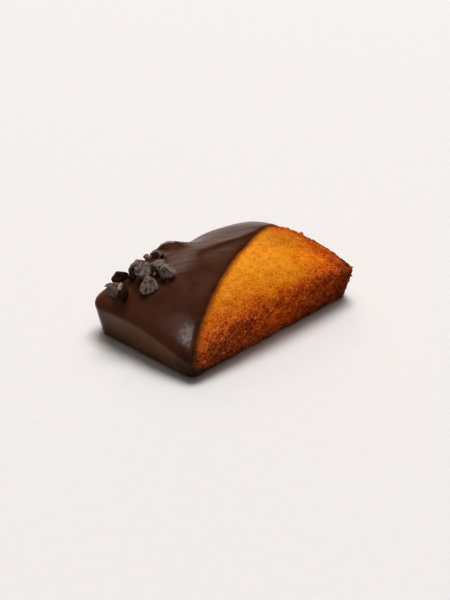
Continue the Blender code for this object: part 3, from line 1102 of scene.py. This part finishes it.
def make_coat():
    """The chocolate shell: its outside, its inside and the rounded edge where they meet."""
    flat = np.vstack(coat_rings)
    points = flat[:, :3]
    thin = np.vstack(cake_rings(coat_walk, -COAT_DEPTH, COAT_WALLS, COAT_DOME))[:, :3]
    layers = {
        "proud": coat_proud - points,
        "deep": thin - points,
        "inwards": np.repeat(flat[:, 3:], 3, axis=1),
    }
    shell, handles, past = cut_at_dip(points, coat_faces, layers)
    outside, inside, climbs = shell_places(shell, handles, past)
    inwards = np.array([vertex[handles["inwards"]][0] for vertex in shell.verts]) / MM
    # The two layers share the points on the edge. Each other one has a point of its own within.
    under = [vertex.index for vertex in shell.verts if not vertex.is_boundary]
    inner = np.arange(len(outside))
    inner[under] = len(outside) + np.arange(len(under))
    faces = [[vertex.index for vertex in face.verts] for face in shell.faces]
    faces += [inner[face[::-1]] for face in faces]
    shell.free()
    heights = np.array([place.z for place in outside])
    free = smooth_step(past, 0.3 * MM, 2.0 * MM) * smooth_step(heights, 0.2 * MM, 1.5 * MM)
    crest = smooth_step(heights, 15 * MM, 19 * MM)
    numbers = {"outside": free, "crest": crest, "climb": climbs}
    for label, values in numbers.items():
        numbers[label] = np.append(values, np.zeros(len(under)))
    numbers["inwards"] = np.append(inwards, inwards[under])
    return add_mesh("chocolate", outside + [inside[index] for index in under], faces, numbers)


coat = make_coat()
print("coat open edges:", 2 * len(coat.data.edges) - len(coat.data.loops))

# %% [markdown]
# ### Flow marks
#
# Chocolate that drains off a dome sets in long faint ripples along it. A tree moves the
# outside by noise that is stretched along the cake, strongest near the crest.

# %% Ripple tree
FLOW_TURN = radians(33)
RIPPLE_SIZES = {
    "Ripple width": 1.8 * MM,
    "Ripple length": 14.0 * MM,
    "Ripple height": 0.16 * MM,
    "Swell size": 6.0 * MM,
    "Swell height": 0.3 * MM,
}


def ripple(given):
    """Long shallow ripples, and a broad unevenness, on the outside of the coat."""
    geometry = given["Geometry"]
    place = geometry.node("GeometryNodeInputPosition").turned(FLOW_TURN)
    crest, outside = numbers_on(geometry, "crest", "outside")
    stretch = given["Ripple width"] / given["Ripple length"]
    along = place.node("ShaderNodeCombineXYZ", {"X": stretch, "Y": 1.0, "Z": 1.0})
    ripples = place.vector("MULTIPLY", along).grain(given["Ripple width"], 1.0) - 0.5
    swells = (place.grain(given["Swell size"], 1.0) - 0.5) * given["Swell height"]
    height = ripples * given["Ripple height"] * (0.15 + crest * 0.85) + swells
    return move_out(geometry, height * outside)


# %% [markdown]
# ### Satin chocolate
#
# Dark chocolate is red-brown where it is thin over the golden cake and nearly black where it is
# thick, so its colour is laid by place: mottled on top, lighter at the rim, where the coat is thin
# and light on the slope is painted in, lighter down the dipped end as painted light, and painted
# darker as shade in two corners. The shader's own shine is weak and soft. A coat adds the gloss
# where the chocolate was buffed, near the corner, and where it stands up round the nibs.

# %% Chocolate finish
TOP_LAYER = (0.046, 0.0120, 0.0045, 1.0)
THIN_LAYER = (0.064, 0.0185, 0.0080, 1.0)
# Lighter at the rim: the coat is thin there, and light on the rim's slope is painted in.
THIN_AND_LIT_RIM_LAYER = (0.080, 0.0255, 0.0120, 1.0)
# Painted light on the wall of the dipped end.
PAINTED_LIGHT_SIDE_LAYER = (0.105, 0.043, 0.017, 1.0)
# Two corners painted darker as shade: the middle, the radii where it starts and is full, the
# colour.
PAINTED_SHADE_CORNERS = (
    ((-34.0 * MM, -20.0 * MM, 4.0 * MM), 8.0 * MM, 3.0 * MM, (0.040, 0.013, 0.006, 1.0)),
    ((-35.0 * MM, 19.0 * MM, 5.0 * MM), 9.5 * MM, 4.0 * MM, (0.060, 0.013, 0.002, 1.0)),
)
# The buffed patch near the corner: its middle, and one over its half sizes along X and Y.
BUFFED = (-30.5 * MM, -15.4 * MM, 0.0)
BUFFED_SHARES = (1 / (3.9 * MM), 1 / (3.3 * MM), 0.0)
STREAK_SHARES = (0.12, 1.0, 1.0)
FLOW_DEPTH = 0.020 * MM


def chocolate_look(place):
    """Dark chocolate set to a soft satin sheen, buffed near the corner and round the nibs."""
    inwards, climb = painted(place, "inwards", "climb")
    x = place.node("ShaderNodeSeparateXYZ", {"Vector": place}, None, "X")
    cloud = place.grain(5.0 * MM)
    streak = place.turned(FLOW_TURN).vector("MULTIPLY", STREAK_SHARES).grain(0.9 * MM, 3.0, 0.6)
    fine = place.grain(0.5 * MM, 3.0, 0.6)
    smudge = place.grain(1.0 * MM, 3.0).step(0.38, 0.62)
    # Painted light on the dipped end's wall, strongest at the left end.
    painted_light_side = inwards.step(-0.4, -1.6) * (0.2 + x.step(-12.0 * MM, -29.0 * MM) * 0.8)
    colour = (cloud * 0.75 + streak * 0.25).step(0.36, 0.62).blend(TOP_LAYER, THIN_LAYER)
    # Lighter near the rim, as thin coat and as painted light.
    colour = inwards.step(9.0, 2.0).blend(colour, THIN_AND_LIT_RIM_LAYER)
    colour = painted_light_side.blend(colour, PAINTED_LIGHT_SIDE_LAYER)
    # Painted shade in two corners.
    for corner, start, full, layer in PAINTED_SHADE_CORNERS:
        colour = place.away_from(corner).step(start, full).blend(colour, layer)
    patch = place.away_from(BUFFED, BUFFED_SHARES).step(1.2, 0.1)
    buffed = patch * (0.4 + smudge) + climb.step(0.3, 0.75)
    return {
        "Base Color": colour,
        "Roughness": 0.24 + streak * 0.08 + fine * 0.04,
        "Coat Weight": buffed.clamp(),
        "Normal": bumped(streak * 0.7 + fine * 0.3, FLOW_DEPTH),
    }


shine = {"Specular_IOR_Level": 0.1, "Coat_Roughness": 0.25}
dark_chocolate = new_finish("dark_chocolate", chocolate_look, **shine)
grow_tree(coat, "flow_ripples", RIPPLE_SIZES, ripple, dark_chocolate)

# %% [markdown]
# ## Floor and light
#
# The cake lies on a plain pale surface. A large soft light behind it and to the right, with a
# wider halo, leaves a narrow shadow along both near sides. No facet of the coat mirrors that
# light in the photograph, so reflections don't show it. What the chocolate mirrors is a pale
# strip of room beyond the cake and a pane high above that, which make the crest shine, and a tall
# light at the left, which makes the gleam at the near corner. The view transform is Standard,
# because the filmic ones wash out so strong an orange.

# %% The floor
FLOOR_HALF = 1.5
FLOOR_TONES = ((0.794, 0.778, 0.781, 1.0), (0.834, 0.817, 0.820, 1.0))


def floor_look(place):
    """A plain pale surface, a little mottled."""
    return {"Base Color": place.grain(4.0 * MM, 3.0).blend(*FLOOR_TONES)}


corners = FLOOR_HALF * np.array(((-1, -1, 0), (1, -1, 0), (1, 1, 0), (-1, 1, 0)))
floor = add_mesh("floor", corners, [(0, 1, 2, 3)])
matt = {"Roughness": 0.9, "Specular_IOR_Level": 0.0}
floor.data.materials.append(new_finish("pale_floor", floor_look, **matt))
bpy.context.scene.view_settings.view_transform = "Standard"
print("floor:", 2 * FLOOR_HALF, "m wide")

# %% The lights
LIGHT_DISTANCE = 5.0
# Name, azimuth and elevation in degrees, width and height in metres, watts, and colour.
LIGHTS = (
    ("key", 119, 69, 2.6, 2.6, 230.0, (1.0, 0.985, 0.97)),
    ("halo", 119, 69, 7.2, 7.2, 104.0, (1.0, 0.985, 0.97)),
    ("fill", -50, 35, 2.0, 2.0, 9.0, (1.0, 0.79, 0.58)),
    ("gleam", -99, 60, 1.3, 3.6, 62.0, (1.0, 0.97, 0.96)),
)
# Only the gleam shows in reflections, and only the others light what they fall on.
for name, azimuth, elevation, width, height, watts, colour in LIGHTS:
    light = add_object(name, bpy.data.lights.new(name, "AREA"))
    light.data.shape = "RECTANGLE"
    light.data.size, light.data.size_y = width, height
    light.data.energy = watts
    light.data.color = colour
    light.location = from_here(radians(azimuth), radians(elevation), LIGHT_DISTANCE)
    light.rotation_euler = light.location.to_track_quat("Z", "Y").to_euler()
    light.visible_camera = False
    light.visible_glossy = name == "gleam"
    light.visible_diffuse = name != "gleam"
print("lights:", [row[0] for row in LIGHTS])

# %% The room
PALE = (2.95, 2.55, 2.2, 1.0)
DIM = (0.026, 0.025, 0.018, 1.0)
FAR_SIDE = (0.629, 0.777, 0.0)
HIGH_PANE = (0.419, 0.726, 0.545)
room = bpy.data.worlds.new("room")
room.use_nodes = True
bpy.context.scene.world = room
nodes = room.node_tree.nodes
way = Wire(room.node_tree, nodes.new("ShaderNodeTexCoord").outputs["Generated"])
level = way.node("ShaderNodeSeparateXYZ", {"Vector": way}, None, "Z")
beyond = way.vector("DOT_PRODUCT", FAR_SIDE, "Value").step(0.92, 0.99)
strip = beyond * level.step(0.02, 0.26) * (1 - level.step(0.32, 0.5))
pane = way.vector("DOT_PRODUCT", HIGH_PANE, "Value").step(0.963, 0.995)
colour = (strip + pane).clamp().blend(DIM, PALE)
room.node_tree.links.new(colour.socket, nodes["Background"].inputs["Color"])
print("room:", len(nodes), "nodes")

# %% [markdown]
# ## On the one body
#
# Every piece rides on the one body, and the imported solids are hidden.

# %% Riding and replacing
SLOTS = ((sponge, "cake"), (grains, "cake"), (crumbs, "cake"), (coat, "chocolate"), (nibs, "nibs"))
for piece, slot in SLOTS:
    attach(piece, "root")
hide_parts("cake")
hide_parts("chocolate_coating")
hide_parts("chocolate_coating")
